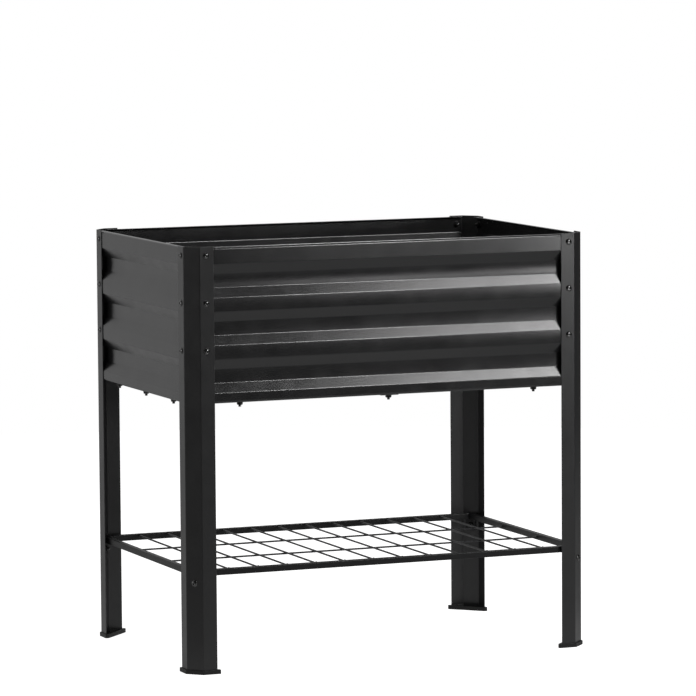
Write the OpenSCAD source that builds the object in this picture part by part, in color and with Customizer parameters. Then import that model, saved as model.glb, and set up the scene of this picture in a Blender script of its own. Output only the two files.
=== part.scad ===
// Raised planter on four legs. Corrugated sheet panels are screwed inside four bent-sheet corner legs,
// a sheet floor rests on the panels' bottom flanges, and a wire shelf hangs between the legs below.
// +X runs along the front from left to right, +Y to the rear and +Z up.
// The origin is on the ground, at the centre of the footprint. All sizes are in millimetres.

/* [Overall] */
// Width across the outer faces of the legs
planter_w = 914; // [800:2:1200]
// Depth across the outer faces of the legs
planter_d = 600; // [450:1:800]
// Height of the leg tops above the ground
planter_h = 900; // [800:5:1000]

/* [Legs] */
// Thickness of the leg sheet
leg_t = 1.5; // [1:0.1:2]
// How far the 45 degree corner face cuts back along each side
chamfer = 27; // [24:1:32]
// Length of each flange beyond the corner face
flange = 31.5; // [28:0.5:40]
// Mid-plane radius of the leg's bends
leg_bend_r = 2.5; // [1.5:0.1:3]

/* [Feet] */
// Height of a foot's rim
foot_h = 9; // [6:0.5:12]
// Thickness of plastic under a leg
foot_base = 3; // [2:0.5:4]
// How far a foot stands out past a leg's outer faces
foot_lip = 3; // [2:0.5:5]
// How far a foot runs on past the free edge of a flange
foot_toe = 7; // [4:0.5:10]
// Thickness of the inner wall that grips the leg
foot_wall = 2; // [1.5:0.5:3]

/* [Panels] */
// Thickness of the panel sheet
panel_t = 0.7; // [0.5:0.1:1]
// Distance from the leg tops down to the rim of the panels
rim_drop = 2; // [0:0.5:5]
// Number of recessed waves
waves = 3; // [2:1:4]
// Height of one wave, and of the spacing between screws
pitch = 100; // [96:1:110]
// Height of the flat face of a recess
recess_h = 29.5; // [26:0.5:32]
// Height of the flat face of a crest
crest_h = 29.5; // [26:0.5:32]
// Depth of a recess
wave_depth = 12; // [8:1:18]
// Height of the plain band above the top wave
top_band = 35.5; // [34:0.5:40]
// Height of the plain band below the bottom wave
bottom_band = 21.5; // [18:0.5:30]
// Width of the rim folded inwards
rim_fold = 12; // [8:1:15]
// Width of the bottom flange that carries the floor
bottom_flange = 25; // [22:1:26]
// Mid-plane radius of the panel's bends
panel_bend_r = 3; // [1.5:0.5:4]

/* [Floor] */
// Thickness of the floor sheet
floor_t = 1; // [0.8:0.1:1.5]
// Thickness of the brace under the floor
brace_t = 1.2; // [1:0.1:2]
// Width of the brace
brace_w = 40; // [30:2:60]
// Depth of the brace's lips
brace_lip = 12; // [8:1:16]
// Radius of a drain hole
drain_r = 5; // [3:0.5:8]
// Distance of the outer screws from the middle of a long side
floor_screw_x = 338; // [200:2:340]
// Distance of the outer screws from the middle of a short side
floor_screw_y = 170; // [80:2:180]

/* [Shelf] */
// Height of the underside of the shelf rails
shelf_z = 207.2; // [150:0.1:350]
// Distance from the legs' outer faces in to the rails
rail_inset = 9; // [8:0.5:12]
// Outer width of the square tube
rail_w = 13.5; // [12.5:0.1:16]
// Wall of the square tube
rail_wall = 1.2; // [0.9:0.1:2]
// Diameter of the shelf wires
wire_d = 4; // [3:0.5:4]
// Distance from the rails' top down to the middle of the cross wires
wire_drop = 3.2; // [2:0.1:4]
// Number of wires that cross the shelf
cross_wires = 12; // [8:1:18]
// Distance from a side rail to the first cross wire
cross_wire_gap = 71.5; // [40:0.5:90]
// Number of wires that run along the shelf
long_wires = 2; // [1:1:4]
// Thickness of the tab in each corner
tab_t = 3; // [2:0.5:3]
// Width of a tab
tab_w = 24; // [20:1:28]

/* [Fasteners] */
// Diameter of a screw head
head_d = 14; // [12:0.5:15]
// Height of a screw head
head_h = 3.8; // [3:0.1:4.5]
// Radius of a screw shank
shank_r = 3.1; // [2.5:0.1:3.1]
// Radius of the clearance holes
hole_r = 3.5; // [3.3:0.1:4]
// Distance from the edge of a corner face to the screws on a flange
screw_inset = 14; // [12:0.5:16]
// Distance from the leg tops down to the first screw
first_screw = 19; // [18:0.5:20]

/* [Hidden] */
leg_colour = [0.11, 0.11, 0.12];
panel_colour = [0.30, 0.30, 0.32];
plastic_colour = [0.06, 0.06, 0.06];
fastener_colour = [0.08, 0.08, 0.09];

$fn = 48;
bend_steps = 6;
cut = 1;

leg_run = chamfer + flange;
screw_u = chamfer + screw_inset;
half_turn = tan(22.5);

slope_h = (pitch - recess_h - crest_h) / 2;
panel_h = bottom_band + waves * pitch - crest_h + top_band;
rim_z = planter_h - rim_drop;
panel_z = rim_z - panel_h;
panel_end = chamfer + 3;
screw_heights = [for (i = [0 : waves - 1]) planter_h - first_screw - i * pitch];

floor_z = panel_z + panel_t;
floor_gap = leg_t + panel_t + panel_bend_r + 1;
floor_corner = chamfer + 4 - 2 * floor_gap;
floor_screw_inset = leg_t + bottom_flange / 2;

rail_top = shelf_z + rail_w;
rail_clip = chamfer + (leg_t + tab_t) * sqrt(2) - 2 * rail_inset;
cross_wire_z = rail_top - wire_drop;
long_wire_z = cross_wire_z - wire_d;
shelf_screw_z = shelf_z - 14.5;
tab_z = shelf_screw_z - 12;

nut_flats = 11.1;
nut_h = 5.6;
nut_flange_r = 7;
nut_flange_h = 1.5;
nut_bore_r = 3.2;
screw_tip = 4.5;
socket_r = 2.3;
socket_depth = 2;
panel_grip = leg_t + panel_t;
tab_grip = leg_t + tab_t;

// Floor screws: [x, y, thickness of sheet under the floor]
long_side_screws = [
    for (i = [-1 : 1], side = [-1, 1])
        [i * floor_screw_x, side * (planter_d / 2 - floor_screw_inset), panel_t + (i == 0 ? brace_t : 0)]
];
short_side_screws = [
    for (i = [-1 : 1], side = [-1, 1])
        [side * (planter_w / 2 - floor_screw_inset), i * floor_screw_y, panel_t]
];
floor_places = concat(long_side_screws, short_side_screws);

// ---- Bent sheet ----

function ahead(angle) = [cos(angle), sin(angle)];
function left_of(angle) = [-sin(angle), cos(angle)];
function reversed(list) = [for (i = [len(list) - 1 : -1 : 0]) list[i]];

// Angle of the straight run that leaves point i of a path
function run_angle(path, i) = atan2(path[i + 1][1] - path[i][1], path[i + 1][0] - path[i][0]);

// Turn at point i of a path, positive to the left
function turn_at(path, i) =
    let (turn = run_angle(path, i) - run_angle(path, i - 1))
    turn > 180 ? turn - 360 : turn < -180 ? turn + 360 : turn;

// Arc of points that rounds the bend at point i with radius r, on the face that lies side to the left
function bend_arc(path, i, side, r) =
    let (angle = run_angle(path, i - 1), turn = turn_at(path, i), way = sign(turn))
    let (centre = path[i] - ahead(angle) * r * tan(abs(turn) / 2) + left_of(angle) * way * r)
    [for (k = [0 : bend_steps]) centre + left_of(angle + turn * k / bend_steps) * (side - way * r)];

// One face of a bent sheet, lying side to the left of its mid-plane path
function sheet_face(path, side, r) =
    let (last = len(path) - 1)
    concat(
        [path[0] + left_of(run_angle(path, 0)) * side],
        [for (i = [1 : last - 1]) each bend_arc(path, i, side, r)],
        [path[last] + left_of(run_angle(path, last - 1)) * side]
    );

// Section of a sheet of thickness t, bent with radius r along its mid-plane path
module bent_section(path, t, r) {
    polygon(concat(sheet_face(path, t / 2, r), reversed(sheet_face(path, -t / 2, r))));
}

// ---- Places ----

// Turns the front left corner's frame, with the corner at its origin, into that of any corner
module at_corner(right, rear) {
    translate([(right ? 1 : -1) * planter_w / 2, (rear ? 1 : -1) * planter_d / 2, 0])
        mirror([right ? 1 : 0, 0, 0])
            mirror([0, rear ? 1 : 0, 0])
                children();
}

// Places children at a corner's panel screws, on the leg's outer face with +Z inwards
module at_panel_screws() {
    for (z = screw_heights) {
        translate([screw_u, 0, z]) rotate([-90, 0, 0]) children();
        translate([0, screw_u, z]) rotate([0, 90, 0]) children();
    }
}

// Places children at a corner's shelf screw, on the corner face with +Z inwards
module at_shelf_screw() {
    translate([chamfer / 2, chamfer / 2, shelf_screw_z])
        rotate([0, 90, 45])
            children();
}

// A hole through sheet of thickness t, from z = 0
module hole(t) {
    translate([0, 0, -cut]) cylinder(r = hole_r, h = t + 2 * cut);
}

// ---- Legs and feet ----

function leg_path() =
    let (mid = leg_t / 2, bend = chamfer + mid * half_turn)
    [[leg_run, mid], [bend, mid], [mid, bend], [mid, leg_run]];

module leg(right, rear) {
    color(leg_colour)
        at_corner(right, rear)
            difference() {
                translate([0, 0, foot_base])
                    linear_extrude(planter_h - foot_base)
                        bent_section(leg_path(), leg_t, leg_bend_r);
                at_panel_screws() hole(leg_t);
                at_shelf_screw() hole(leg_t);
            }
}

// A foot's plan: the leg's outline with a lip round it, closed by a straight diagonal
module foot_plan() {
    corner = chamfer - foot_lip * (sqrt(2) - 1);
    toe = leg_run + foot_toe;
    toe_w = leg_t + foot_lip;
    polygon([
        [corner, -foot_lip], [toe, -foot_lip], [toe, toe_w],
        [toe_w, toe], [-foot_lip, toe], [-foot_lip, corner]
    ]);
}

// The hollow inside the wall that grips the leg from within
module foot_hollow() {
    inner = leg_t + foot_wall;
    corner = chamfer + inner * half_turn;
    far = leg_run - foot_wall;
    reach = leg_run + foot_toe + leg_t - foot_wall - far;
    polygon([[corner, inner], [far, inner], [far, reach], [reach, far], [inner, far], [inner, corner]]);
}

module foot(right, rear) {
    color(plastic_colour)
        at_corner(right, rear)
            difference() {
                linear_extrude(foot_h) foot_plan();
                translate([0, 0, foot_base])
                    linear_extrude(foot_h) {
                        bent_section(leg_path(), leg_t, leg_bend_r);
                        foot_hollow();
                    }
            }
}

// ---- Corrugated box ----

// Mid-plane of a panel: distance in from its outer face, and height
function panel_path() =
    let (mid = panel_t / 2, deep = mid + wave_depth)
    concat(
        [[bottom_flange, panel_z + mid], [mid, panel_z + mid]],
        [for (i = [0 : waves - 1])
            let (z = panel_z + bottom_band + i * pitch)
            each [
                [mid, z], [deep, z + slope_h],
                [deep, z + slope_h + recess_h], [mid, z + 2 * slope_h + recess_h]
            ]],
        [[mid, rim_z - mid], [rim_fold, rim_z - mid]]
    );

// A panel on the side of the planter at distance reach in front of the origin, for legs span apart
module panel(span, reach, floor_screw) {
    color(panel_colour)
        translate([0, leg_t - reach, 0])
            difference() {
                rotate([90, 0, 90])
                    linear_extrude(span - 2 * panel_end, center = true)
                        bent_section(panel_path(), panel_t, panel_bend_r);
                for (side = [-1, 1], z = screw_heights)
                    translate([side * (span / 2 - screw_u), 0, z]) rotate([-90, 0, 0]) hole(panel_t);
                for (i = [-1 : 1])
                    translate([i * floor_screw, floor_screw_inset - leg_t, panel_z]) hole(panel_t);
            }
}

module long_panel() {
    panel(planter_w, planter_d / 2, floor_screw_x);
}

module short_panel() {
    panel(planter_d, planter_w / 2, floor_screw_y);
}

// The floor's plan: a rectangle with its corners cut off to clear the legs
module floor_plan() {
    x = planter_w / 2 - floor_gap;
    y = planter_d / 2 - floor_gap;
    c = floor_corner;
    polygon([[x - c, y], [x, y - c], [x, c - y], [x - c, -y], [c - x, -y], [-x, c - y], [-x, y - c], [c - x, y]]);
}

module floor_panel() {
    drain_x = planter_w / 6;
    drain_y = planter_d / 4;
    color(panel_colour)
        translate([0, 0, floor_z])
            difference() {
                linear_extrude(floor_t) floor_plan();
                for (place = floor_places)
                    translate([place[0], place[1], 0]) hole(floor_t);
                for (i = [-2, -1, 1, 2], side = [-1, 0, 1])
                    translate([i * drain_x, side * drain_y, -cut]) cylinder(r = drain_r, h = floor_t + 2 * cut);
            }
}

// Brace under the floor from front to rear, joggled at its ends to pass under the bottom flanges
module floor_brace() {
    end = planter_d / 2 - floor_gap;
    ledge = planter_d / 2 - leg_t - bottom_flange - 2;
    joggle = 8;
    low = panel_z - brace_t / 2;
    high = floor_z - brace_t / 2;
    path = [
        [-end, low], [-ledge, low], [joggle - ledge, high],
        [ledge - joggle, high], [ledge, low], [end, low]
    ];
    lip_root = ledge - 2 * joggle;
    lip_taper = 80;
    lip_z = floor_z - brace_lip;
    color(panel_colour)
        difference() {
            union() {
                rotate([90, 0, 90])
                    linear_extrude(brace_w, center = true)
                        bent_section(path, brace_t, panel_bend_r);
                for (side = [-1, 1])
                    translate([side * (brace_w - brace_t) / 2, 0, 0])
                        rotate([90, 0, 90])
                            linear_extrude(brace_t, center = true)
                                polygon([
                                    [-lip_root, floor_z - brace_t / 2], [lip_taper - lip_root, lip_z],
                                    [lip_root - lip_taper, lip_z], [lip_root, floor_z - brace_t / 2]
                                ]);
            }
            for (side = [-1, 1])
                translate([0, side * (planter_d / 2 - floor_screw_inset), panel_z - brace_t]) hole(brace_t);
        }
}

// ---- Shelf ----

// A mitred tube on the side of the shelf at distance reach in front of the origin.
// The frame's corners are cut off along the tabs, as far along each rail as rail_clip.
module rail(length, reach) {
    half = length / 2;
    color(leg_colour)
        translate([0, -reach, shelf_z])
            intersection() {
                rotate([90, 0, 90])
                    linear_extrude(length, center = true)
                        difference() {
                            square(rail_w);
                            translate([rail_wall, rail_wall]) square(rail_w - 2 * rail_wall);
                        }
                linear_extrude(rail_w)
                    polygon([
                        [rail_clip - half, 0], [half - rail_clip, 0],
                        [half - rail_clip / 2, rail_clip / 2], [half - rail_w, rail_w],
                        [rail_w - half, rail_w], [rail_clip / 2 - half, rail_clip / 2]
                    ]);
            }
}

module long_rail() {
    rail(planter_w - 2 * rail_inset, planter_d / 2 - rail_inset);
}

module short_rail() {
    rail(planter_d - 2 * rail_inset, planter_w / 2 - rail_inset);
}

// A plate against the inside of a leg's corner face, welded to the cut corner of the shelf frame
module shelf_tab(right, rear) {
    color(leg_colour)
        at_corner(right, rear)
            difference() {
                translate([chamfer / 2, chamfer / 2, 0])
                    rotate([0, 0, -45])
                        translate([-tab_w / 2, leg_t, tab_z])
                            cube([tab_w, tab_t, rail_top - tab_z]);
                at_shelf_screw() hole(leg_t + tab_t);
            }
}

module shelf_cross_wires() {
    inside_x = planter_w - 2 * (rail_inset + rail_w);
    inside_y = planter_d - 2 * (rail_inset + rail_w);
    first = cross_wire_gap - inside_x / 2;
    gap = -2 * first / (cross_wires - 1);
    color(leg_colour)
        for (i = [0 : cross_wires - 1])
            translate([first + i * gap, 0, cross_wire_z])
                rotate([90, 0, 0])
                    cylinder(d = wire_d, h = inside_y, center = true);
}

module shelf_long_wires() {
    inside_x = planter_w - 2 * (rail_inset + rail_w);
    inside_y = planter_d - 2 * (rail_inset + rail_w);
    gap = inside_y / (long_wires + 1);
    color(leg_colour)
        for (i = [1 : long_wires])
            translate([0, i * gap - inside_y / 2, long_wire_z])
                rotate([0, 90, 0])
                    cylinder(d = wire_d, h = inside_x, center = true);
}

// ---- Fasteners ----

// Dome-head screw: the head's seat is at z = 0 and the shank runs along +Z
module screw(length) {
    dome_r = (pow(head_d / 2, 2) + pow(head_h, 2)) / (2 * head_h);
    cylinder(r = shank_r, h = length);
    difference() {
        intersection() {
            translate([0, 0, dome_r - head_h]) sphere(dome_r);
            translate([0, 0, -head_h]) cylinder(d = head_d, h = head_h);
        }
        translate([0, 0, -head_h - cut]) cylinder(r = socket_r, h = socket_depth + cut, $fn = 6);
    }
}

// Flange nut: its flange seats at z = 0 and the nut stands along +Z
module nut() {
    difference() {
        union() {
            cylinder(r = nut_flange_r, h = nut_flange_h);
            cylinder(d = nut_flats / cos(30), h = nut_h, $fn = 6);
        }
        translate([0, 0, -cut]) cylinder(r = nut_bore_r, h = nut_h + 2 * cut);
    }
}

module corner_screws(right, rear) {
    color(fastener_colour)
        at_corner(right, rear) {
            at_panel_screws() screw(panel_grip + nut_h + screw_tip);
            at_shelf_screw() screw(tab_grip + nut_h + screw_tip);
        }
}

module corner_nuts(right, rear) {
    color(fastener_colour)
        at_corner(right, rear) {
            at_panel_screws() translate([0, 0, panel_grip]) nut();
            at_shelf_screw() translate([0, 0, tab_grip]) nut();
        }
}

module floor_screws() {
    color(fastener_colour)
        for (place = floor_places)
            translate([place[0], place[1], floor_z + floor_t])
                rotate([180, 0, 0])
                    screw(floor_t + place[2] + nut_h + screw_tip);
}

module floor_nuts() {
    color(fastener_colour)
        for (place = floor_places)
            translate([place[0], place[1], floor_z - place[2]])
                rotate([180, 0, 0])
                    nut();
}

// ---- Parts ----

leg(false, false);  // leg_front_left
leg(true, false);  // leg_front_right
leg(false, true);  // leg_rear_left
leg(true, true);  // leg_rear_right
foot(false, false);  // foot_front_left
foot(true, false);  // foot_front_right
foot(false, true);  // foot_rear_left
foot(true, true);  // foot_rear_right
long_panel();  // front_panel
rotate([0, 0, 180]) long_panel();  // rear_panel
rotate([0, 0, -90]) short_panel();  // left_panel
rotate([0, 0, 90]) short_panel();  // right_panel
floor_panel();
floor_brace();
long_rail();  // shelf_front_rail
rotate([0, 0, 180]) long_rail();  // shelf_rear_rail
rotate([0, 0, -90]) short_rail();  // shelf_left_rail
rotate([0, 0, 90]) short_rail();  // shelf_right_rail
shelf_tab(false, false);  // shelf_tab_front_left
shelf_tab(true, false);  // shelf_tab_front_right
shelf_tab(false, true);  // shelf_tab_rear_left
shelf_tab(true, true);  // shelf_tab_rear_right
shelf_cross_wires();
shelf_long_wires();
corner_screws(false, false);  // screws_front_left
corner_screws(true, false);  // screws_front_right
corner_screws(false, true);  // screws_rear_left
corner_screws(true, true);  // screws_rear_right
corner_nuts(false, false);  // nuts_front_left
corner_nuts(true, false);  // nuts_front_right
corner_nuts(false, true);  // nuts_rear_left
corner_nuts(true, true);  // nuts_rear_right
floor_screws();
floor_nuts();
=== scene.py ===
"""Looks of a raised planter: corrugated sheet box, four bent-sheet legs on plastic shoes and a wire shelf.

Everything is in metres, in the frame of the CAD model: +X along the front, +Y to the rear, +Z up.
"""
import math
import random

import bmesh
import bpy
from mathutils import Matrix, Vector
from mathutils.geometry import tessellate_polygon


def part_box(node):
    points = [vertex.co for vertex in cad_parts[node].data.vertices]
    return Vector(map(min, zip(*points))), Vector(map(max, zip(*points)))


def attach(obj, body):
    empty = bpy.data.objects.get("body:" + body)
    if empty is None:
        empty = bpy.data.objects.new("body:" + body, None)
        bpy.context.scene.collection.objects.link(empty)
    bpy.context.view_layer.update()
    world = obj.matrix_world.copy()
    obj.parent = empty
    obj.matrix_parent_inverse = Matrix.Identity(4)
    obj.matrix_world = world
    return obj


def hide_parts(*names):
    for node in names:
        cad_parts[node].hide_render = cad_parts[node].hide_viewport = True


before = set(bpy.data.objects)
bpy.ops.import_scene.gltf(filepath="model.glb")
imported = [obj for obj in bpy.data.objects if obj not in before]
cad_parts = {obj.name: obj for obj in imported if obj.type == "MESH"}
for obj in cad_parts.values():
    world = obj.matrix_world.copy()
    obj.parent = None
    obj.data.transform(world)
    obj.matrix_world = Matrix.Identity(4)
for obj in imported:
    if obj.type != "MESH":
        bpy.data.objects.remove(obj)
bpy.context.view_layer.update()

MM = 0.001

# ---- Sizes, from the CAD nodes' boxes where a box gives them ----

leg_low, leg_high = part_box("leg_front_left")
foot_low, foot_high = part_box("foot_front_left")
panel_low, panel_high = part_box("front_panel")
side_low, side_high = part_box("left_panel")
floor_low, floor_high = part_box("floor_panel")
rail_low, rail_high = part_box("shelf_front_rail")
tab_low, tab_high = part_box("shelf_tab_front_left")
cross_low, cross_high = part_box("shelf_cross_wires")
long_low, long_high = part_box("shelf_long_wires")

HALF_W = -leg_low.x
HALF_D = -leg_low.y

LEG_T = 1.5 * MM
LEG_RUN = leg_high.x - leg_low.x
CHAMFER = 27 * MM
LEG_BEND = 2.5 * MM
LEG_EDGE = 0.7 * MM            # rounding of a leg's long free edges
LEG_END = 0.4 * MM             # how far a leg's section spreads at its top and bottom ends

FOOT_LIP = leg_low.x - foot_low.x
FOOT_TOE = foot_high.x - leg_high.x
FOOT_BASE = leg_low.z
FOOT_WALL = 2 * MM
FOOT_CORNER = 1.4 * MM
FOOT_HOLLOW_CORNER = 0.8 * MM
FOOT_RIM = 0.7 * MM            # rounding of the foot's top rim
FOOT_SOLE = 0.3 * MM           # chamfer round the sole
FOOT_MOUTH = 0.25 * MM         # widening of the pockets at their mouths
FOOT_MOUTH_DEPTH = 0.3 * MM

PANEL_T = 0.7 * MM
PANEL_BEND = 5 * MM
PANEL_EDGE = 0.15 * MM         # rounding of a panel's long free edges
PANEL_END = 0.12 * MM          # how far a panel's section spreads at its cut ends
WAVES = 3
PITCH = 100 * MM
FLAT = 29.5 * MM
WAVE_DEPTH = 12 * MM
CREST_BOW = 0.35 * MM          # how far the flats bow, as rolled sheet does
RECESS_BOWS = [0.3 * MM, 0.35 * MM, 0.9 * MM]
BOTTOM_BAND = 21.5 * MM
RIM_FOLD = 12 * MM

SCREW_U = 41 * MM
SCREW_DROP = 19 * MM
SCREW_Z = [leg_high.z - SCREW_DROP - i * PITCH for i in range(WAVES)]
HEAD_R = 7 * MM
HEAD_H = 3.8 * MM
HEAD_RIM = 0.5 * MM
HEAD_SOFT = 0.25 * MM
SOCKET_R = 2.3 * MM
SOCKET_DEPTH = 2 * MM
SOCKET_LIP = 0.4 * MM
SOCKET_CONE = 0.3 * MM
SHANK_R = 3.1 * MM
SHANK_LEAD = 0.5 * MM
SHANK_POINT = 1.0 * MM
THREAD_PITCH = 1.27 * MM
THREAD_DEPTH = 0.45 * MM
THREAD_STEPS = 4               # rings for each turn of the thread
THREAD_RINGS = 18              # rings along the whole thread
SCREW_TIP = 4.5 * MM
NUT_H = 5.6 * MM
NUT_APOTHEM = 5.55 * MM
NUT_CHAMFER_R = 6.05 * MM
NUT_CROWN_R = 5.3 * MM
NUT_FLANGE_R = 7 * MM
NUT_HOLE_R = 3.2 * MM

RAIL_W = rail_high.z - rail_low.z
RAIL_INSET = rail_low.y + HALF_D
RAIL_CORNER = 1.8 * MM
CROSS_WIRES = 12
TAB_T = 3 * MM
TAB_W = 24 * MM
TAB_CORNER = 2.5 * MM
TAB_EDGE = 0.4 * MM
TAB_SCREW_UP = 12 * MM         # the screw's height above the tab's lower edge
RAIL_CLIP = CHAMFER + (LEG_T + TAB_T) * math.sqrt(2) - 2 * RAIL_INSET
SHELF_SCREW_Z = tab_low.z + TAB_SCREW_UP

FLOOR_SCREW_X = 338 * MM
FLOOR_SCREW_Y = 170 * MM
FLOOR_SCREW_INSET = 14 * MM
FLOOR_CORNER = 2 * MM
FLOOR_CORNER_GAP = 4 * MM      # how much more is cut off the floor's corners than off the legs'
FLOOR_EDGE = 0.25 * MM
DRAIN_R = 5 * MM
BRACE_T = 1.2 * MM

CORNERS = {
    "front_left": (-1, -1),
    "front_right": (1, -1),
    "rear_left": (-1, 1),
    "rear_right": (1, 1),
}

# ---- Outlines ----

MITRE_LIMIT = 0.3              # least cosine of half a corner's turn that offset reckons with


def corner_arc(before, at, after, radius, steps):
    """Points of the arc of that radius that rounds the corner at."""
    a = (before - at).normalized()
    b = (after - at).normalized()
    half = a.angle(b) / 2
    centre = at + (a + b).normalized() * radius / math.sin(half)
    start = at + a * radius / math.tan(half) - centre
    turn = (math.pi - 2 * half) * (1 if a.x * b.y - a.y * b.x < 0 else -1)
    return [centre + Matrix.Rotation(turn * k / steps, 2) @ start for k in range(steps + 1)]


def rounded(corners, radius, steps, closed=False):
    """Path through the corners, rounded with the radius, or with a corner's own third value."""
    points = [Vector(c[:2]) for c in corners]
    radii = [c[2] if len(c) > 2 else radius for c in corners]
    path = []
    for i, point in enumerate(points):
        is_end = not closed and i in (0, len(points) - 1)
        if is_end or radii[i] == 0:
            path.append(point)
        else:
            after = points[(i + 1) % len(points)]
            path += corner_arc(points[i - 1], point, after, radii[i], steps)
    return path


def offset(path, distance, closed=True):
    """The path moved to its left by the distance."""
    moved = []
    for i, point in enumerate(path):
        before = path[i - 1] if closed or i else point
        after = path[(i + 1) % len(path)] if closed or i < len(path) - 1 else point
        a = (point - before).normalized() if point != before else (after - point).normalized()
        b = (after - point).normalized() if point != after else a
        along = (a + b).normalized()
        moved.append(point + Vector((-along.y, along.x)) * distance / max(along.dot(a), MITRE_LIMIT))
    return moved


def sheet_outline(path, thickness, edge, steps=6):
    """Clockwise outline of a sheet bent along its mid-plane path, with softly rounded free edges."""
    half = thickness / 2

    def cap(end, away):
        side = Vector((-away.y, away.x))
        turns = [math.pi * k / steps for k in range(1, steps)]
        return [end + side * half * math.cos(t) + away * edge * (math.sin(t) - 1) for t in turns]

    left = offset(path, half, closed=False)
    right = offset(path, -half, closed=False)
    first = (path[0] - path[1]).normalized()
    last = (path[-1] - path[-2]).normalized()
    left[0] -= first * edge
    right[0] -= first * edge
    left[-1] -= last * edge
    right[-1] -= last * edge
    return left + cap(path[-1], last) + right[::-1] + cap(path[0], first)


def circle(x, y, radius, count=24):
    """Points round a circle."""
    turns = [2 * math.pi * k / count for k in range(count)]
    return [Vector((x + radius * math.cos(t), y + radius * math.sin(t))) for t in turns]


def hexagon_radius(turn, apothem):
    """Distance from the centre to the side of a hexagon in the direction turn."""
    sixth = math.pi / 3
    return apothem / math.cos(turn % sixth - sixth / 2)


# ---- Meshes ----

ARC_MIDDLE = 0.29              # how far in the middle of a rounded rim lies, as a share of its radius


class Shape:
    """Points and faces of a piece, gathered in its own axes (u, v, h)."""

    def __init__(self):
        self.points = []
        self.faces = []

    def ring(self, outline, height):
        """Adds a closed outline; height is a number or a function of the outline's point."""
        first = len(self.points)
        for p in outline:
            h = height(p) if callable(height) else height
            self.points.append(Vector((p[0], p[1], h)))
        return list(range(first, len(self.points)))

    def wall(self, a, b):
        """Joins two rings that have the same number of points."""
        for i in range(len(a)):
            j = (i + 1) % len(a)
            self.faces.append((a[i], a[j], b[j], b[i]))

    def cap(self, *rings):
        """Fills the first ring, with the others as holes."""
        loops = [[self.points[i].to_2d().to_3d() for i in ring] for ring in rings]
        order = [i for ring in rings for i in ring]
        for triangle in tessellate_polygon(loops):
            self.faces.append(tuple(order[i] for i in triangle))

    def lathe(self, rings, count):
        """Turns about the h axis. Each ring is (radius, height) or (function of the turn, height)."""
        made = []
        for radius, height in rings:
            turns = [2 * math.pi * k / count for k in range(count)]
            reach = [radius(t) if callable(radius) else radius for t in turns]
            outline = [(r * math.cos(t), r * math.sin(t)) for r, t in zip(reach, turns)]
            made.append(self.ring(outline, height))
        for a, b in zip(made, made[1:]):
            self.wall(a, b)
        return made

    def prism(self, outline, holes, low, high, soft):
        """Extrudes an outline with holes from low to high.

        Within soft of both ends the outline moves to its left by up to soft, and the holes to their right.
        That rounds the rims of what runs anticlockwise, and spreads a clockwise outline there instead.
        """
        part = soft * ARC_MIDDLE
        levels = [(low, soft), (low + part, part), (low + soft, 0)]
        levels += [(high - soft, 0), (high - part, part), (high, soft)]
        ends = []
        for loop, way in [(outline, 1)] + [(hole, -1) for hole in holes]:
            rings = [self.ring(offset(loop, way * inset), h) for h, inset in levels]
            for a, b in zip(rings, rings[1:]):
                self.wall(a, b)
            ends.append((rings[0], rings[-1]))
        self.cap(*[end[0] for end in ends])
        self.cap(*[end[1] for end in ends])

    def point(self, ring, height):
        """Closes a ring with a shallow point on the h axis."""
        self.points.append(Vector((0, 0, height)))
        for i in range(len(ring)):
            self.faces.append((ring[i], ring[(i + 1) % len(ring)], len(self.points) - 1))

    def add(self, other, matrix):
        """Adds another shape's faces, moved by the matrix."""
        first = len(self.points)
        self.points += [matrix @ p for p in other.points]
        self.faces += [tuple(first + i for i in face) for face in other.faces]

    def placed(self, place):
        """Moves every point by the function place and returns the shape."""
        self.points = [Vector(place(p)) for p in self.points]
        return self


def facing(position, normal, spin=0.0):
    """Matrix that takes the h axis to the normal at the position."""
    turn = Vector(normal).to_track_quat("Z", "Y").to_matrix().to_4x4()
    return Matrix.Translation(position) @ turn @ Matrix.Rotation(spin, 4, "Z")


# Rounded outer edges are painted lighter: partly paint worn thin, partly a painted highlight for the light
# that the edges catch.
WORN_HIGHLIT_STRIP = 0.8 * MM
WORN_HIGHLIT_TURN = math.radians(14)


def mark_worn_highlit_edges(bm):
    """Marks the vertices along rounded outer edges in a float attribute, for the paint to lighten: partly
    paint worn thin there, partly a painted highlight where the edges catch the light.
    """
    layer = bm.verts.layers.float.new("wear_and_highlight")
    for vertex in bm.verts:
        faces = vertex.link_faces
        widths = [f.calc_area() / max(e.calc_length() for e in f.edges) for f in faces]
        angles = [e.calc_face_angle_signed(0) for e in vertex.link_edges]
        on_strip = max(widths) < WORN_HIGHLIT_STRIP and all(len(f.verts) == 4 for f in faces)
        if on_strip and max(angles) > WORN_HIGHLIT_TURN:
            vertex[layer] = 1


def piece(name, shape, material, nodes, crease=50):
    """Makes the object for a shape, riding on the planter's one body in place of its CAD nodes."""
    mesh = bpy.data.meshes.new(name)
    mesh.from_pydata(shape.points, [], shape.faces)
    bm = bmesh.new()
    bm.from_mesh(mesh)
    bmesh.ops.recalc_face_normals(bm, faces=bm.faces)
    for face in bm.faces:
        face.smooth = True
    for edge in bm.edges:
        edge.smooth = len(edge.link_faces) == 2 and edge.calc_face_angle() < math.radians(crease)
    # marks the rounded edges that the paint lightens with worn paint and painted highlight
    mark_worn_highlit_edges(bm)
    bm.to_mesh(mesh)
    bm.free()
    obj = bpy.data.objects.new(name, mesh)
    bpy.context.scene.collection.objects.link(obj)
    obj.data.materials.append(material)
    flats = obj.modifiers.new("flats", "WEIGHTED_NORMAL")
    flats.keep_sharp = True
    flats.weight = 100
    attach(obj, "root")
    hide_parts(*nodes)


# ---- Materials ----


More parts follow.
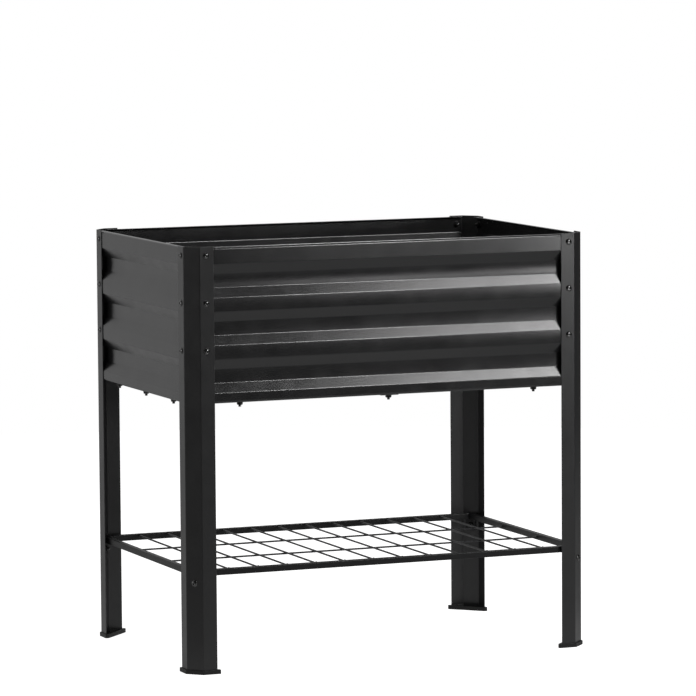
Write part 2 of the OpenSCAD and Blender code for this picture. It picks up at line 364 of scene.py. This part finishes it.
class Nodes:
    """A small helper to write a node tree."""

    def __init__(self, name):
        self.material = bpy.data.materials.new(name)
        self.material.use_nodes = True
        self.tree = self.material.node_tree
        self.shader = self.tree.nodes["Principled BSDF"]
        self.coordinates = self.tree.nodes.new("ShaderNodeTexCoord").outputs["Object"]

    def link(self, source, target):
        """Joins an output to an input."""
        self.tree.links.new(source, target)

    def noise(self, scale, detail):
        """Noise with that many features a metre."""
        node = self.tree.nodes.new("ShaderNodeTexNoise")
        node.inputs["Scale"].default_value = scale
        node.inputs["Detail"].default_value = detail
        self.link(self.coordinates, node.inputs["Vector"])
        return node.outputs["Fac"]

    def wear_and_highlight(self):
        """One along the edges marked for worn paint and painted highlight, nought elsewhere."""
        node = self.tree.nodes.new("ShaderNodeAttribute")
        node.attribute_name = "wear_and_highlight"
        return node.outputs["Fac"]

    def math(self, operation, a, b):
        """The result of an operation on two values."""
        node = self.tree.nodes.new("ShaderNodeMath")
        node.operation = operation
        self.link(a, node.inputs[0])
        self.link(b, node.inputs[1])
        return node.outputs["Value"]

    def spread(self, source, low, high):
        """Maps noise, which stays near a half, to the range from low to high."""
        node = self.tree.nodes.new("ShaderNodeMapRange")
        node.inputs["From Min"].default_value = 0.3
        node.inputs["From Max"].default_value = 0.7
        node.inputs["To Min"].default_value = low
        node.inputs["To Max"].default_value = high
        self.link(source, node.inputs["Value"])
        return node.outputs["Result"]

    def tint(self, colour, amount):
        """The colour multiplied by the amount."""
        node = self.tree.nodes.new("ShaderNodeMix")
        node.data_type = "RGBA"
        node.blend_type = "MULTIPLY"
        node.inputs["Factor"].default_value = 1.0
        node.inputs["A"].default_value = (*colour, 1)
        combine = self.tree.nodes.new("ShaderNodeCombineColor")
        for channel in ("Red", "Green", "Blue"):
            self.link(amount, combine.inputs[channel])
        self.link(combine.outputs["Color"], node.inputs["B"])
        return node.outputs["Result"]

    def bump(self, height, distance, below=None):
        """Normals for a height from 0 to 1 that stands for the distance, laid over those below."""
        node = self.tree.nodes.new("ShaderNodeBump")
        node.inputs["Distance"].default_value = distance
        self.link(height, node.inputs["Height"])
        if below is not None:
            self.link(below, node.inputs["Normal"])
        return node.outputs["Normal"]


WORN_HIGHLIT_EDGE = 6.0                # most that worn paint and painted highlight add to the edges' colour, as a share of it


def coated_steel(name, colour, roughness, peel, sway, ior=1.65):
    """Paint on sheet steel: orange peel, a faint long sway, slight variation, and edges lighter from worn
    paint and a painted highlight.
    """
    n = Nodes(name)
    n.shader.inputs["IOR"].default_value = ior
    tint = n.spread(n.noise(9, 3), 0.94, 1.06)
    # rounded edges painted lighter: partly worn paint, partly painted highlight
    worn_and_highlit = n.math("MULTIPLY", n.wear_and_highlight(), n.spread(n.noise(70, 3), 0.5, WORN_HIGHLIT_EDGE))
    n.link(n.tint(colour, n.math("ADD", tint, worn_and_highlit)), n.shader.inputs["Base Color"])
    gloss = n.spread(n.noise(26, 4), roughness - 0.03, roughness + 0.03)
    n.link(gloss, n.shader.inputs["Roughness"])
    long_sway = n.bump(n.noise(4, 1), sway)
    n.link(n.bump(n.noise(800, 2), peel, long_sway), n.shader.inputs["Normal"])
    return n.material


def moulded_plastic(name, colour, roughness):
    """Matt plastic with the fine grain of a spark-eroded mould."""
    n = Nodes(name)
    tint = n.spread(n.noise(60, 3), 0.9, 1.1)
    n.link(n.tint(colour, tint), n.shader.inputs["Base Color"])
    n.link(n.spread(n.noise(900, 2), roughness - 0.06, roughness + 0.06), n.shader.inputs["Roughness"])
    n.link(n.bump(n.noise(1400, 2), 0.06 * MM), n.shader.inputs["Normal"])
    return n.material


def fastener_finish(name, colour, roughness, ior):
    """Blackened steel, a little uneven where the tools touch it."""
    n = Nodes(name)
    tint = n.spread(n.noise(240, 3), 0.75, 1.25)
    n.link(n.tint(colour, tint), n.shader.inputs["Base Color"])
    n.link(n.spread(n.noise(500, 3), roughness - 0.03, roughness + 0.05), n.shader.inputs["Roughness"])
    n.link(n.bump(n.noise(1100, 2), 0.005 * MM), n.shader.inputs["Normal"])
    n.shader.inputs["IOR"].default_value = ior
    return n.material


LEG_PAINT = coated_steel("leg_paint", (0.014, 0.014, 0.0145), 0.32, 0.003 * MM, 0.1 * MM)
PANEL_PAINT = coated_steel("panel_paint", (0.014, 0.014, 0.0145), 0.22, 0.0012 * MM, 0.15 * MM)
FLOOR_PAINT = coated_steel("floor_paint", (0.036, 0.036, 0.038), 0.40, 0.005 * MM, 0.5 * MM)
SHELF_PAINT = coated_steel("shelf_paint", (0.006, 0.006, 0.0065), 0.42, 0.005 * MM, 0.1 * MM, 1.45)
FOOT_PLASTIC = moulded_plastic("foot_plastic", (0.008, 0.008, 0.008), 0.5)
SCREW_BLACK = fastener_finish("screw_black", (0.003, 0.003, 0.003), 0.10, 2.1)
NUT_BLACK = fastener_finish("nut_black", (0.006, 0.006, 0.006), 0.38, 1.5)

# ---- Legs and feet ----


def at_corner(corner):
    """Place for a shape drawn with u and v measured in from a corner's outer faces."""
    sx, sy = CORNERS[corner]
    return lambda p: (sx * (HALF_W - p.x), sy * (HALF_D - p.y), p.z)


def leg_outline():
    """Section of a leg: flange, 45 degree corner face, flange."""
    mid = LEG_T / 2
    bend = CHAMFER + mid * math.tan(math.pi / 8)
    path = [(LEG_RUN, mid), (bend, mid), (mid, bend), (mid, LEG_RUN)]
    return sheet_outline(rounded(path, LEG_BEND, 6), LEG_T, LEG_EDGE)


def make_leg(corner):
    """A leg, one bent sheet from the foot to the rim."""
    shape = Shape()
    shape.prism(leg_outline(), [], leg_low.z, leg_high.z, LEG_END)
    placed = shape.placed(at_corner(corner))
    piece(f"leg_{corner}_sheet", placed, LEG_PAINT, [f"leg_{corner}"])


def foot_outline():
    """Plan of a foot: the leg's outline with a lip round it, closed by a straight diagonal."""
    corner = CHAMFER - FOOT_LIP * (math.sqrt(2) - 1)
    toe = LEG_RUN + FOOT_TOE
    toe_w = LEG_T + FOOT_LIP
    corners = [
        (corner, -FOOT_LIP), (toe, -FOOT_LIP), (toe, toe_w),
        (toe_w, toe), (-FOOT_LIP, toe), (-FOOT_LIP, corner),
    ]
    return rounded(corners, FOOT_CORNER, 4, closed=True)


def foot_hollow():
    """Hollow behind the wall that grips the leg from within."""
    inner = LEG_T + FOOT_WALL
    corner = CHAMFER + inner * math.tan(math.pi / 8)
    far = LEG_RUN - FOOT_WALL
    reach = LEG_RUN + FOOT_TOE + LEG_T - FOOT_WALL - far
    corners = [(corner, inner), (far, inner), (far, reach), (reach, far), (inner, far), (inner, corner)]
    return rounded(corners, FOOT_HOLLOW_CORNER, 3, closed=True)


def make_foot(corner):
    """A moulded shoe: a base with a slot that takes the leg, and a hollow inside."""
    shape = Shape()
    top = foot_high.z
    outline = foot_outline()
    levels = [(0, FOOT_SOLE), (FOOT_SOLE, 0), (top - FOOT_RIM, 0)]
    levels += [(top - FOOT_RIM * ARC_MIDDLE, FOOT_RIM * ARC_MIDDLE), (top, FOOT_RIM)]
    outer = [shape.ring(offset(outline, inset), h) for h, inset in levels]
    for a, b in zip(outer, outer[1:]):
        shape.wall(a, b)
    shape.cap(outer[0])
    rims = [outer[-1]]
    for pocket in (leg_outline()[::-1], foot_hollow()):
        rings = [shape.ring(offset(pocket, -FOOT_MOUTH), top)]
        rings.append(shape.ring(pocket, top - FOOT_MOUTH_DEPTH))
        rings.append(shape.ring(pocket, FOOT_BASE))
        for a, b in zip(rings, rings[1:]):
            shape.wall(a, b)
        shape.cap(rings[-1])
        rims.append(rings[0])
    shape.cap(*rims)
    placed = shape.placed(at_corner(corner))
    piece(f"foot_{corner}_shoe", placed, FOOT_PLASTIC, [f"foot_{corner}"])


# ---- Corrugated box ----


def bowed(low, high, depth, bow, count=6):
    """Mid-plane points of a flat that bows by bow between its two bends."""
    points = []
    for k in range(count + 1):
        s = 2 * k / count - 1
        radius = PANEL_BEND if k in (0, count) else 0
        points.append((depth + bow * s * s, low + (high - low) * k / count, radius))
    return points


def panel_path():
    """Mid-plane of a panel: depth in from its outer face, and height."""
    mid = PANEL_T / 2
    deep = mid + WAVE_DEPTH
    slope = (PITCH - 2 * FLAT) / 2
    low = panel_low.z
    flange = panel_high.y - panel_low.y
    corners = [(flange, low + mid), (mid, low + mid)]
    start = low + BOTTOM_BAND
    for i in range(WAVES):
        z = start + i * PITCH
        if i:
            corners += bowed(z - FLAT, z, mid, CREST_BOW)
        else:
            corners.append((mid, z))
        corners += bowed(z + slope, z + slope + FLAT, deep, -RECESS_BOWS[i])
    corners.append((mid, start + WAVES * PITCH - FLAT))
    corners += [(mid, panel_high.z - mid), (RIM_FOLD, panel_high.z - mid)]
    return rounded(corners, PANEL_BEND, 6)


def make_panel(name, half_length, place):
    """A corrugated sheet with a fold at the rim and a flange at the bottom."""
    shape = Shape()
    outline = sheet_outline(panel_path(), PANEL_T, PANEL_EDGE)
    shape.prism(outline, [], -half_length, half_length, PANEL_END)
    piece(f"{name}_sheet", shape.placed(place), PANEL_PAINT, [name])


def make_panels():
    """The four panels, against the inside of the legs' flanges."""
    face_y = HALF_D - LEG_T
    face_x = HALF_W - LEG_T
    long_half = panel_high.x
    short_half = side_high.y
    make_panel("front_panel", long_half, lambda p: (p.z, p.x - face_y, p.y))
    make_panel("rear_panel", long_half, lambda p: (p.z, face_y - p.x, p.y))
    make_panel("left_panel", short_half, lambda p: (p.x - face_x, p.z, p.y))
    make_panel("right_panel", short_half, lambda p: (face_x - p.x, p.z, p.y))


def floor_places():
    """Floor screws: (x, y, thickness of sheet under the floor)."""
    x = HALF_W - FLOOR_SCREW_INSET
    y = HALF_D - FLOOR_SCREW_INSET
    places = []
    for i in (-1, 0, 1):
        for side in (-1, 1):
            places.append((i * FLOOR_SCREW_X, side * y, PANEL_T + (0 if i else BRACE_T)))
            places.append((side * x, i * FLOOR_SCREW_Y, PANEL_T))
    return places


def make_floor():
    """The floor sheet: a rectangle with cut corners and drain holes."""
    x, y = floor_high.x, floor_high.y
    gap = HALF_W - x
    cut = CHAMFER + FLOOR_CORNER_GAP - 2 * gap
    corners = [
        (cut - x, -y), (x - cut, -y), (x, cut - y), (x, y - cut),
        (x - cut, y), (cut - x, y), (-x, y - cut), (-x, cut - y),
    ]
    outline = rounded(corners, FLOOR_CORNER, 3, closed=True)
    places = [(i * HALF_W / 3, side * HALF_D / 2) for i in (-2, -1, 1, 2) for side in (-1, 0, 1)]
    holes = [circle(cx, cy, DRAIN_R) for cx, cy in places]
    shape = Shape()
    shape.prism(outline, holes, floor_low.z, floor_high.z, FLOOR_EDGE)
    piece("floor_panel_sheet", shape, FLOOR_PAINT, ["floor_panel"])


# ---- Shelf ----


def rail_outline():
    """Section of the square tube, with u across the rail and v up, and points where its corner is cut."""
    w = RAIL_W
    cut = RAIL_CLIP / 2
    corners = [(0, 0), (cut, 0, 0), (w, 0), (w, w), (cut, w, 0), (0, w)]
    return rounded(corners, RAIL_CORNER, 4, closed=True)


def make_rail(name, half_length, place):
    """A mitred tube whose outer corners are cut along the tabs."""

    def end(p):
        return min(half_length - RAIL_CLIP + p[0], half_length - p[0])

    shape = Shape()
    outline = rail_outline()
    near = shape.ring(outline, lambda p: -end(p))
    far = shape.ring(outline, end)
    shape.wall(near, far)
    shape.cap(near)
    shape.cap(far)
    piece(f"{name}_tube", shape.placed(place), SHELF_PAINT, [name])


def make_rails():
    """The shelf's frame of four tubes."""
    y = HALF_D - RAIL_INSET
    x = HALF_W - RAIL_INSET
    z = rail_low.z
    make_rail("shelf_front_rail", x, lambda p: (p.z, p.x - y, p.y + z))
    make_rail("shelf_rear_rail", x, lambda p: (p.z, y - p.x, p.y + z))
    make_rail("shelf_left_rail", y, lambda p: (p.x - x, p.z, p.y + z))
    make_rail("shelf_right_rail", y, lambda p: (x - p.x, p.z, p.y + z))


# How a weld flares a wire: share of the wire's radius, and distance from its end in millimetres
WELD_FLARE = [(2.0, 0.0), (1.75, 0.35), (1.3, 1.0), (1.05, 1.7), (1.0, 2.6)]


def wire(length, radius):
    """A round wire along h, with a weld flare at both ends."""
    shape = Shape()
    half = length / 2
    rings = [(radius * grow, -half + step * MM) for grow, step in WELD_FLARE]
    rings += [(radius * grow, half - step * MM) for grow, step in reversed(WELD_FLARE)]
    made = shape.lathe(rings, 16)
    shape.cap(made[0])
    shape.cap(made[-1])
    return shape


def make_wires():
    """The wires across the shelf, and the two under them that run along it."""
    inside_x = HALF_W - RAIL_INSET - RAIL_W
    inside_y = HALF_D - RAIL_INSET - RAIL_W
    radius = (cross_high.z - cross_low.z) / 2
    first = cross_low.x + radius
    gap = -2 * first / (CROSS_WIRES - 1)
    cross_z = cross_high.z - radius
    across = Shape()
    for i in range(CROSS_WIRES):
        across.add(wire(2 * inside_y, radius), facing((first + i * gap, 0, cross_z), (0, 1, 0)))
    piece("shelf_cross_wires_welded", across, SHELF_PAINT, ["shelf_cross_wires"])
    along = Shape()
    y = long_high.y - radius
    for side in (-1, 1):
        along.add(wire(2 * inside_x, radius), facing((0, side * y, long_high.z - radius), (1, 0, 0)))
    piece("shelf_long_wires_welded", along, SHELF_PAINT, ["shelf_long_wires"])


def make_tab(corner):
    """A plate against the inside of a leg's corner face."""
    half = TAB_W / 2
    low, high = tab_low.z, tab_high.z
    corners = [(-half, low), (half, low), (half, high), (-half, high)]
    shape = Shape()
    shape.prism(rounded(corners, TAB_CORNER, 4, closed=True), [], LEG_T, LEG_T + TAB_T, TAB_EDGE)
    turn = math.sqrt(0.5)
    place = at_corner(corner)

    def on_corner_face(p):
        across = Vector((p.x * turn, -p.x * turn, 0))
        inwards = Vector((p.z * turn, p.z * turn, 0))
        return place(Vector((CHAMFER / 2, CHAMFER / 2, p.y)) + across + inwards)

    placed = shape.placed(on_corner_face)
    piece(f"shelf_tab_{corner}_plate", placed, SHELF_PAINT, [f"shelf_tab_{corner}"])


# ---- Fasteners ----


def dome_height(radius):
    """Height of a screw's domed head at that distance from its axis."""
    rise = HEAD_H - HEAD_RIM
    dome = (HEAD_R ** 2 + rise ** 2) / (2 * rise)
    return HEAD_H - dome + math.sqrt(dome ** 2 - radius ** 2)


def thread(height):
    """Radius of the thread, as a function of the turn, at that height on the shank."""

    def radius(turn):
        phase = (height / THREAD_PITCH + turn / (2 * math.pi)) % 1
        return SHANK_R - THREAD_DEPTH * abs(2 * phase - 1)

    return radius


def socket(turn):
    """Radius of the hexagon socket in a screw's head."""
    return hexagon_radius(turn, SOCKET_R * math.cos(math.pi / 6))


def screw(length):
    """Dome-head screw: the head stands on h = 0 and the threaded shank runs down from it."""
    step = THREAD_PITCH / THREAD_STEPS
    threaded = [step * k - length + SHANK_LEAD for k in range(THREAD_RINGS)]
    profile = [(SHANK_R - SHANK_POINT, -length)]
    profile += [(thread(h), h) for h in threaded]
    profile += [(SHANK_R, threaded[-1] + step), (SHANK_R, 0)]
    profile += [(HEAD_R - HEAD_SOFT, 0), (HEAD_R, HEAD_SOFT), (HEAD_R - 0.03 * MM, HEAD_RIM)]
    dome = [share * HEAD_R for share in (0.96, 0.88, 0.78, 0.66, 0.54, 0.45)]
    profile += [(radius, dome_height(radius)) for radius in dome]
    lip = SOCKET_R + SOCKET_LIP
    profile += [(lip, dome_height(lip)), (socket, dome_height(lip) - HEAD_SOFT)]
    profile.append((socket, HEAD_H - SOCKET_DEPTH))
    shape = Shape()
    rings = shape.lathe(profile, 24)
    shape.point(rings[0], -length)
    shape.point(rings[-1], HEAD_H - SOCKET_DEPTH - SOCKET_CONE)
    return shape


def nut():
    """Flange nut: its flange seats on h = 0 and its hexagon stands above."""
    soft = 0.2 * MM

    def side(turn):
        return hexagon_radius(turn, NUT_APOTHEM)

    def chamfered(turn):
        return min(side(turn), NUT_CHAMFER_R)

    flange = [
        (NUT_HOLE_R, 0), (NUT_FLANGE_R - soft, 0), (NUT_FLANGE_R, soft),
        (NUT_FLANGE_R, 0.9 * MM), (NUT_FLANGE_R - soft, 1.15 * MM),
    ]
    hexagon = [
        (lambda turn: side(turn) + 0.15 * MM, 1.6 * MM), (side, 1.85 * MM),
        (side, NUT_H - 0.85 * MM), (chamfered, NUT_H - 0.45 * MM),
    ]
    crown = [(NUT_CROWN_R, NUT_H), (NUT_HOLE_R + 0.3 * MM, NUT_H), (NUT_HOLE_R, NUT_H - 0.35 * MM)]
    shape = Shape()
    made = shape.lathe(flange + hexagon + crown, 36)
    shape.wall(made[-1], made[0])
    return shape


def corner_fasteners(corner):
    """Seats of a corner's screws: (position, outward normal, thickness of sheet that they hold)."""
    sx, sy = CORNERS[corner]
    seats = []
    for z in SCREW_Z:
        on_front = Vector((sx * (HALF_W - SCREW_U), sy * HALF_D, z))
        on_side = Vector((sx * HALF_W, sy * (HALF_D - SCREW_U), z))
        seats.append((on_front, Vector((0, sy, 0)), LEG_T + PANEL_T))
        seats.append((on_side, Vector((sx, 0, 0)), LEG_T + PANEL_T))
    middle = Vector((sx * (HALF_W - CHAMFER / 2), sy * (HALF_D - CHAMFER / 2), SHELF_SCREW_Z))
    seats.append((middle, Vector((sx, sy, 0)).normalized(), LEG_T + TAB_T))
    return seats


def make_fasteners(screws_name, nuts_name, seats, spins):
    """One piece of screws and one of nuts, each turned by a chance amount as tightening leaves it."""
    screws, nuts = Shape(), Shape()
    for position, normal, grip in seats:
        length = grip + NUT_H + SCREW_TIP
        screws.add(screw(length), facing(position, normal, spins.uniform(0, math.pi)))
        nuts.add(nut(), facing(position - normal * grip, -normal, spins.uniform(0, math.pi)))
    piece(f"{screws_name}_domed", screws, SCREW_BLACK, [screws_name], 40)
    piece(f"{nuts_name}_flanged", nuts, NUT_BLACK, [nuts_name], 25)


def make_all_fasteners():
    """The legs' screws and nuts, then the floor's."""
    spins = random.Random(4)
    for corner in CORNERS:
        make_fasteners(f"screws_{corner}", f"nuts_{corner}", corner_fasteners(corner), spins)
    sheet = floor_high.z - floor_low.z
    up = Vector((0, 0, 1))
    seats = [(Vector((x, y, floor_high.z)), up, sheet + under) for x, y, under in floor_places()]
    make_fasteners("floor_screws", "floor_nuts", seats, spins)


def finish_brace():
    """The brace under the floor keeps its CAD mesh and takes the floor's paint."""
    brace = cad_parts["floor_brace"]
    for material_slot in brace.material_slots:
        material_slot.link = "OBJECT"
        material_slot.material = FLOOR_PAINT


# ---- Stage ----

# What the camera sees
BACKDROP = 1.0
FLOOR_GLOW = 1.0
FLOOR_PAPER = 0.6              # colour of the floor on top of its glow, which takes the shadows

# What lights the planter
FLOOR_BOUNCE = 0.5             # colour of the floor
FLOOR_NEAR = 0.20              # glow of the floor under and near the planter
FLOOR_NEAR_FADE = (0.5, 1.1)   # metres from the planter's middle over which it goes
FLOOR_WALL = 0.23              # glow of the floor towards the wall
FLOOR_WALL_RISE = (0.0, 1.2)   # metres towards the wall over which it comes
ROOM = 0.045
WALL = 0.45
WALL_RISE = (0.1, 0.7)         # cosines to the wall's direction over which the room becomes the wall
WALL_DIRECTION = (-0.45, 0.89, 0)
STAGE_RADIUS = 4.0


def ramp(tree, source, start, end, low, high):
    """A strength that goes softly from low to high while the source goes from start to end."""
    node = tree.nodes.new("ShaderNodeMapRange")
    node.interpolation_type = "SMOOTHSTEP"
    node.inputs["From Min"].default_value = start
    node.inputs["From Max"].default_value = end
    node.inputs["To Min"].default_value = low
    node.inputs["To Max"].default_value = high
    tree.links.new(source, node.inputs["Value"])
    return node.outputs["Result"]


def measure(tree, coordinates, operation):
    """The dot product of the coordinates with the direction of the pale wall, or their length."""
    place = tree.nodes.new("ShaderNodeTexCoord")
    node = tree.nodes.new("ShaderNodeVectorMath")
    node.operation = operation
    node.inputs[1].default_value = WALL_DIRECTION
    tree.links.new(place.outputs[coordinates], node.inputs[0])
    return node.outputs["Value"]


def glow(tree, strength):
    """White light of that strength."""
    node = tree.nodes.new("ShaderNodeEmission")
    tree.links.new(strength, node.inputs["Strength"])
    return node.outputs[0]


def added(tree, a, b):
    """Two shaders together."""
    node = tree.nodes.new("ShaderNodeAddShader")
    tree.links.new(a, node.inputs[0])
    tree.links.new(b, node.inputs[1])
    return node.outputs[0]


def make_floor_stage():
    """A plain pale floor. It is clear from below, so that the underside can be seen."""
    mesh = bpy.data.meshes.new("studio_floor")
    rim = [(p.x, p.y, 0) for p in circle(0, 0, STAGE_RADIUS, 72)]
    mesh.from_pydata(rim, [], [tuple(range(len(rim)))])
    obj = bpy.data.objects.new("studio_floor", mesh)
    bpy.context.scene.collection.objects.link(obj)
    material = bpy.data.materials.new("studio_floor")
    material.use_nodes = True
    tree = material.node_tree
    tree.nodes.clear()
    new = tree.nodes.new
    seen = new("ShaderNodeEmission")
    seen.inputs["Strength"].default_value = FLOOR_GLOW
    paper = new("ShaderNodeBsdfDiffuse")
    paper.inputs["Color"].default_value = (FLOOR_PAPER,) * 3 + (1,)
    dim = new("ShaderNodeBsdfDiffuse")
    dim.inputs["Color"].default_value = (FLOOR_BOUNCE,) * 3 + (1,)
    towards_wall = measure(tree, "Object", "DOT_PRODUCT")
    by_wall = glow(tree, ramp(tree, towards_wall, *FLOOR_WALL_RISE, 0.0, FLOOR_WALL))
    from_middle = measure(tree, "Object", "LENGTH")
    beneath = glow(tree, ramp(tree, from_middle, *FLOOR_NEAR_FADE, FLOOR_NEAR, 0.0))
    other = added(tree, dim.outputs[0], added(tree, by_wall, beneath))
    rays = new("ShaderNodeLightPath")
    shown = new("ShaderNodeMixShader")
    tree.links.new(rays.outputs["Is Camera Ray"], shown.inputs[0])
    tree.links.new(other, shown.inputs[1])
    tree.links.new(added(tree, seen.outputs[0], paper.outputs[0]), shown.inputs[2])
    sides = new("ShaderNodeNewGeometry")
    clear = new("ShaderNodeBsdfTransparent")
    result = new("ShaderNodeMixShader")
    tree.links.new(sides.outputs["Backfacing"], result.inputs[0])
    tree.links.new(shown.outputs[0], result.inputs[1])
    tree.links.new(clear.outputs[0], result.inputs[2])
    output = new("ShaderNodeOutputMaterial")
    tree.links.new(result.outputs[0], output.inputs["Surface"])
    obj.data.materials.append(material)


def make_backdrop():
    """A white backdrop to look at, in a dim room with a pale wall behind and to the left of the planter."""
    world = bpy.data.worlds.new("studio")
    bpy.context.scene.world = world
    world.use_nodes = True
    tree = world.node_tree
    tree.nodes.clear()
    new = tree.nodes.new
    link = tree.links.new
    seen = new("ShaderNodeBackground")
    seen.inputs["Color"].default_value = (1, 1, 1, 1)
    seen.inputs["Strength"].default_value = BACKDROP
    room = new("ShaderNodeBackground")
    room.inputs["Color"].default_value = (1, 1, 1, 1)
    towards_wall = measure(tree, "Generated", "DOT_PRODUCT")
    link(ramp(tree, towards_wall, *WALL_RISE, ROOM, WALL), room.inputs["Strength"])
    rays = new("ShaderNodeLightPath")
    shown = new("ShaderNodeMixShader")
    link(rays.outputs["Is Camera Ray"], shown.inputs[0])
    link(room.outputs[0], shown.inputs[1])
    link(seen.outputs[0], shown.inputs[2])
    output = new("ShaderNodeOutputWorld")
    link(shown.outputs[0], output.inputs["Surface"])


# Softboxes aimed at the planter: name, degrees round from the front to the right, degrees up, width
# and height in metres, radiance
SOFTBOXES = [
    ("left_key", 20, 26, 0.45, 0.5, 22.0),
    ("middle_key", 31, 36, 0.45, 0.7, 9.0),
    ("right_key", 43, 34, 0.5, 0.7, 12.5),
    ("low_left", 20, 6, 0.5, 0.35, 3.0),
    ("low_right", 34, 4, 0.5, 0.35, 9.5),
    ("left_strip", 272, 4, 1.2, 0.8, 1.8),
    ("rear_key", 152, 38, 0.6, 0.8, 8.0),
    ("overhead", 0, 86, 1.2, 1.0, 2.0),
]
SOFTBOX_DISTANCE = 3.0
SOFTBOX_AIM = Vector((0, 0, 0.65))


def softbox(name, azimuth, elevation, width, height, radiance):
    """A rectangular area light that faces the planter."""
    around, over = math.radians(azimuth), math.radians(elevation)
    away = Vector((math.sin(around) * math.cos(over), -math.cos(around) * math.cos(over), math.sin(over)))
    light = bpy.data.lights.new(name, "AREA")
    light.shape = "RECTANGLE"
    light.size = width
    light.size_y = height
    light.energy = radiance * width * height * math.pi
    obj = bpy.data.objects.new(name, light)
    bpy.context.scene.collection.objects.link(obj)
    obj.location = SOFTBOX_AIM + away * SOFTBOX_DISTANCE
    obj.rotation_mode = "QUATERNION"
    obj.rotation_quaternion = (-away).to_track_quat("-Z", "Y")


def make_lights():
    """All the softboxes."""
    for box in SOFTBOXES:
        softbox(*box)


CAMERA_AZIMUTH = -22.28
CAMERA_ELEVATION = 5.70
CAMERA_ROLL = -0.40
CAMERA_DISTANCE = 10.053
CAMERA_LENS = 238.4
CAMERA_AIM = Vector((0.0252, 0, 0.6423))


def make_camera():
    """A long lens from the front left, a little above the rim."""
    azimuth = math.radians(CAMERA_AZIMUTH)
    elevation = math.radians(CAMERA_ELEVATION)
    level = math.cos(elevation)
    back = Vector((math.sin(azimuth) * level, -math.cos(azimuth) * level, math.sin(elevation)))
    data = bpy.data.cameras.new("camera")
    data.lens = CAMERA_LENS
    data.sensor_width = 36
    data.clip_end = 200
    obj = bpy.data.objects.new("camera", data)
    bpy.context.scene.collection.objects.link(obj)
    obj.rotation_mode = "QUATERNION"
    obj.location = CAMERA_AIM + back * CAMERA_DISTANCE
    turn = (-back).to_track_quat("-Z", "Y").to_matrix().to_4x4()
    roll = Matrix.Rotation(math.radians(CAMERA_ROLL), 4, "Z")
    obj.rotation_quaternion = (turn @ roll).to_quaternion()
    bpy.context.scene.camera = obj


def make_view_transform():
    """Plain display colours, so that the pale backdrop stays white."""
    settings = bpy.context.scene.view_settings
    settings.view_transform = "Standard"
    settings.look = "None"


make_camera()
make_view_transform()
make_backdrop()
make_floor_stage()
make_lights()
for corner_name in CORNERS:
    make_leg(corner_name)
    make_foot(corner_name)
    make_tab(corner_name)
make_panels()
make_floor()
make_rails()
make_wires()
make_all_fasteners()
finish_brace()
